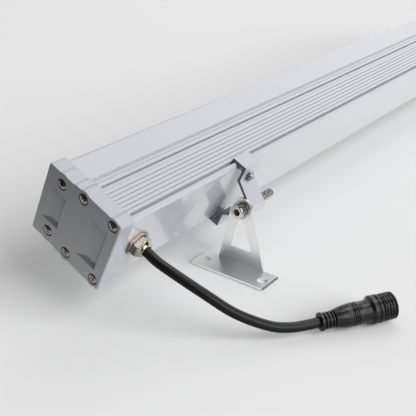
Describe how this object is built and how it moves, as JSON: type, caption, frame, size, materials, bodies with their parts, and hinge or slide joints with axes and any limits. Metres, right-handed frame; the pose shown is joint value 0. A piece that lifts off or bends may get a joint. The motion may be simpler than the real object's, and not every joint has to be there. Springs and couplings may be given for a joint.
{
  "type": "outdoor wall washer light",
  "caption": "Long outdoor wall washer light with a finned grey housing, screwed end caps, sliding clamps on tilting feet and a black cable with a screw connector.",
  "frame": {"origin": "on the surface that the feet are bolted to, in the middle between the four foot holes", "axes": "+X along the light away from the cable end, +Y towards the glass side, +Z away from the mounting surface"},
  "size_m": [1.0006, 0.2446, 0.1242],
  "materials": {
    "grey_paint": "satin light grey coat on aluminium",
    "clamp_aluminium": "satin anodised extrusion",
    "foot_steel": "brushed stainless sheet",
    "steel": "bright plated fasteners",
    "nickel_brass": "nickel-plated brass, bright",
    "clear_glass": "clear",
    "black_rubber": "smooth black rubber",
    "black_plastic": "moulded satin black",
    "white_board": "white solder mask",
    "led_yellow": "phosphor",
    "driver_case": "plain sheet"
  },
  "bodies": {
    "near_foot": {"foot_near": "foot_steel"},
    "near_clamp": {"clamp_near": "clamp_aluminium", "clamp_screw_near": "steel", "pivot_bolt_near": "steel", "pivot_washer_near": "steel"},
    "luminaire": {"housing": "grey_paint", "end_cap_near": "grey_paint", "end_cap_far": "grey_paint", "cap_gasket_near": "black_rubber", "cap_gasket_far": "black_rubber", "cap_screws_near": "steel", "cap_screws_far": "steel", "glass_cover": "clear_glass", "glass_gasket": "black_rubber", "led_board": "white_board", "leds": "led_yellow", "lens_array": "clear_glass", "driver": "driver_case", "gland_body": "nickel_brass", "gland_locknut": "nickel_brass", "gland_seal": "black_rubber", "gland_nut": "nickel_brass", "cable": "black_rubber", "connector_body": "black_plastic", "connector_insert": "black_plastic"},
    "far_clamp": {"clamp_far": "clamp_aluminium", "clamp_screw_far": "steel", "pivot_bolt_far": "steel", "pivot_washer_far": "steel"},
    "far_foot": {"foot_far": "foot_steel"}
  },
  "joints": [
    {"name": "tilt", "type": "hinge", "parent": "near_foot", "child": "near_clamp", "pos_m": [-0.3602, 0, 0.0544], "axis": [1, 0, 0], "range_deg": [-30, 155]},
    {"name": "near_slide", "type": "slide", "parent": "near_clamp", "child": "luminaire", "axis": [1, 0, 0], "range_m": [-0.3, 0.05]},
    {"name": "far_slide", "type": "slide", "parent": "luminaire", "child": "far_clamp", "axis": [1, 0, 0], "range_m": [-0.3, 0.05]},
    {"name": "far_tilt", "type": "hinge", "parent": "far_clamp", "child": "far_foot", "pos_m": [0.3602, 0, 0.0544], "axis": [1, 0, 0], "range_deg": [-155, 30]}
  ],
  "couplings": [
    {"joint": "far_tilt", "follows": "tilt", "ratio": -1}
  ]
}
